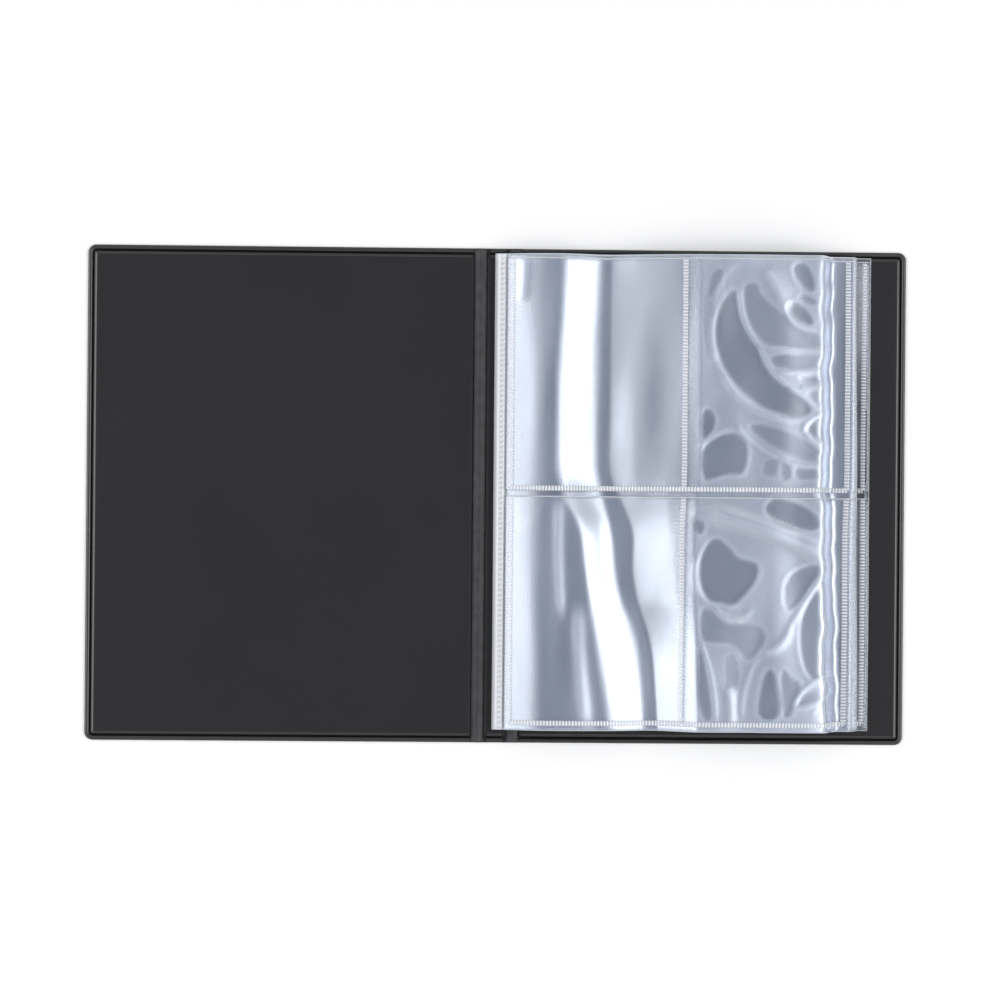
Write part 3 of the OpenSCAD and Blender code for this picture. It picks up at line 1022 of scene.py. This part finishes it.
def binding_bead():
    """Fused margins of the leaves: a rounded bead along the spine with a row of pressed dots on top.

    The angle runs from BIND_WRAP of a half turn under one side to as much under the other.
    """
    y = spaced(LEAF_FOOT, LEAF_TOP, BIND_STEP)
    angle = np.linspace(np.pi * (1 + BIND_WRAP), -np.pi * BIND_WRAP, BIND_PROFILE_STEPS)
    turn, along = np.meshgrid(angle, y, indexing="ij")
    radius = BIND_HIGH[0] - BIND_AXIS[0] - BIND_INSET
    off_top = turn - np.pi / 2
    dots = np.exp(-((off_top / DOT_ANGLE) ** 2)) * ramp(np.cos(2 * np.pi * along / DOT_PITCH), *DOT_EDGE)
    layers = LAYER_HEIGHT * np.cos(turn * LAYER_WAVES) * ramp(np.abs(off_top), *LAYER_FADE)
    reach = radius + layers - DOT_HEIGHT * dots
    x = BIND_AXIS[0] + reach * np.cos(turn)
    z = BIND_AXIS[1] + reach * np.sin(turn)
    top = np.stack([x, along, z], axis=-1)
    shape, quads = shell(top, z - LINING_TOP)
    press = np.concatenate([BIND_PRESS + (1 - BIND_PRESS) * dots.ravel(), np.zeros(dots.size)])
    return mesh_object("binding_bead", shape, quads, fused_edge, press=press)


bead = binding_bead()
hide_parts("binding_weld")
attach(bead, "spine")

# Floor, light and camera

FLOOR_HALF = 3.0
FLOOR_DARK = (0.96, 0.96, 0.96)
FLOOR_LIGHT = (0.98, 0.98, 0.98)
FLOOR_ROUGH = 0.9
FLOOR_GLOSS = 0.1
floor_material, floor_shader, floor_nodes, floor_link = new_material("pale_floor")
floor_noise = floor_nodes.new("ShaderNodeTexNoise")
mix_colour(floor_nodes, floor_link, floor_noise.outputs["Fac"], FLOOR_DARK, FLOOR_LIGHT,
           floor_shader.inputs["Base Color"])
floor_shader.inputs["Roughness"].default_value = FLOOR_ROUGH
floor_shader.inputs["Specular IOR Level"].default_value = FLOOR_GLOSS
floor_corners = np.array([[-1, -1, 0], [1, -1, 0], [1, 1, 0], [-1, 1, 0]]) * FLOOR_HALF / MM
floor = mesh_object("floor", floor_corners, np.array([[0, 1, 2, 3]]), floor_material)

ZENITH = (0.22, 0.25, 0.32)
SIDE_LIGHT = (1.0, 1.0, 1.0)
DOME_STRENGTH = 0.9
FRONT_BACK_DIM = 0.65
BRIGHT_FROM = math.radians(22)
DIM_WITHIN = math.radians(7)


def make_dome():
    """Soft studio dome: dim straight above, bright at both sides and dimmer in front and behind."""
    world = bpy.data.worlds.new("studio_dome")
    world.use_nodes = True
    nodes, link = world.node_tree.nodes, world.node_tree.links.new
    background = nodes["Background"]
    coords = nodes.new("ShaderNodeTexCoord")
    split = nodes.new("ShaderNodeSeparateXYZ")
    fade = nodes.new("ShaderNodeMapRange")
    fade.interpolation_type = "SMOOTHSTEP"
    fade.inputs["From Min"].default_value = math.cos(BRIGHT_FROM)
    fade.inputs["From Max"].default_value = math.cos(DIM_WITHIN)
    colour = nodes.new("ShaderNodeMix")
    colour.data_type = "RGBA"
    colour.inputs["A"].default_value = (*SIDE_LIGHT, 1)
    colour.inputs["B"].default_value = (*ZENITH, 1)
    link(coords.outputs["Generated"], split.inputs[0])
    link(split.outputs["Z"], fade.inputs["Value"])
    link(fade.outputs["Result"], colour.inputs["Factor"])
    link(colour.outputs["Result"], background.inputs["Color"])
    square = nodes.new("ShaderNodeMath")
    square.operation = "MULTIPLY"
    link(split.outputs["Y"], square.inputs[0])
    link(split.outputs["Y"], square.inputs[1])
    level = nodes.new("ShaderNodeMath")
    level.operation = "MULTIPLY_ADD"
    level.inputs[1].default_value = -FRONT_BACK_DIM * DOME_STRENGTH
    level.inputs[2].default_value = DOME_STRENGTH
    link(square.outputs[0], level.inputs[0])
    link(level.outputs[0], background.inputs["Strength"])
    bpy.context.scene.world = world


make_dome()


LAMP_SIZE = 0.8
LAMPS = (
    ("left_softbox", (-0.95, 0.1, 0.85), 4.5),
    ("right_softbox", (0.87, -0.15, 0.93), 5.0),
)


def softbox(name, place, power):
    """A square area lamp that points at the middle of the album."""
    lamp = bpy.data.lights.new(name, "AREA")
    lamp.shape = "SQUARE"
    lamp.size = LAMP_SIZE
    lamp.energy = power
    obj = bpy.data.objects.new(name, lamp)
    obj.location = place
    direction = -np.array(place)
    pitch = math.acos(-direction[2] / np.linalg.norm(direction))
    obj.rotation_euler = (pitch, 0, math.atan2(direction[1], direction[0]) - math.pi / 2)
    bpy.context.scene.collection.objects.link(obj)


for lamp_name, lamp_place, lamp_power in LAMPS:
    softbox(lamp_name, lamp_place, lamp_power)

SENSOR_W = 36.0
FILM_LAYERS_SEEN = 64
CAMERA_HEIGHT = 1.2
FRAME_WIDTH = 0.395
CAMERA_AIM = (0.0014, -0.002)
CAMERA_LEAN = math.radians(-1.4)
CAMERA_ROLL = math.radians(0.5)
camera = bpy.data.objects.new("camera", bpy.data.cameras.new("camera"))
camera.data.sensor_width = SENSOR_W
camera.data.lens = SENSOR_W * CAMERA_HEIGHT / FRAME_WIDTH
camera.location = (CAMERA_AIM[0] + CAMERA_HEIGHT * math.tan(CAMERA_LEAN), CAMERA_AIM[1], CAMERA_HEIGHT)
camera.rotation_euler = (0, CAMERA_LEAN, CAMERA_ROLL)
bpy.context.scene.collection.objects.link(camera)
bpy.context.scene.camera = camera
bpy.context.scene.view_settings.view_transform = "Standard"
bpy.context.scene.cycles.transparent_max_bounces = FILM_LAYERS_SEEN
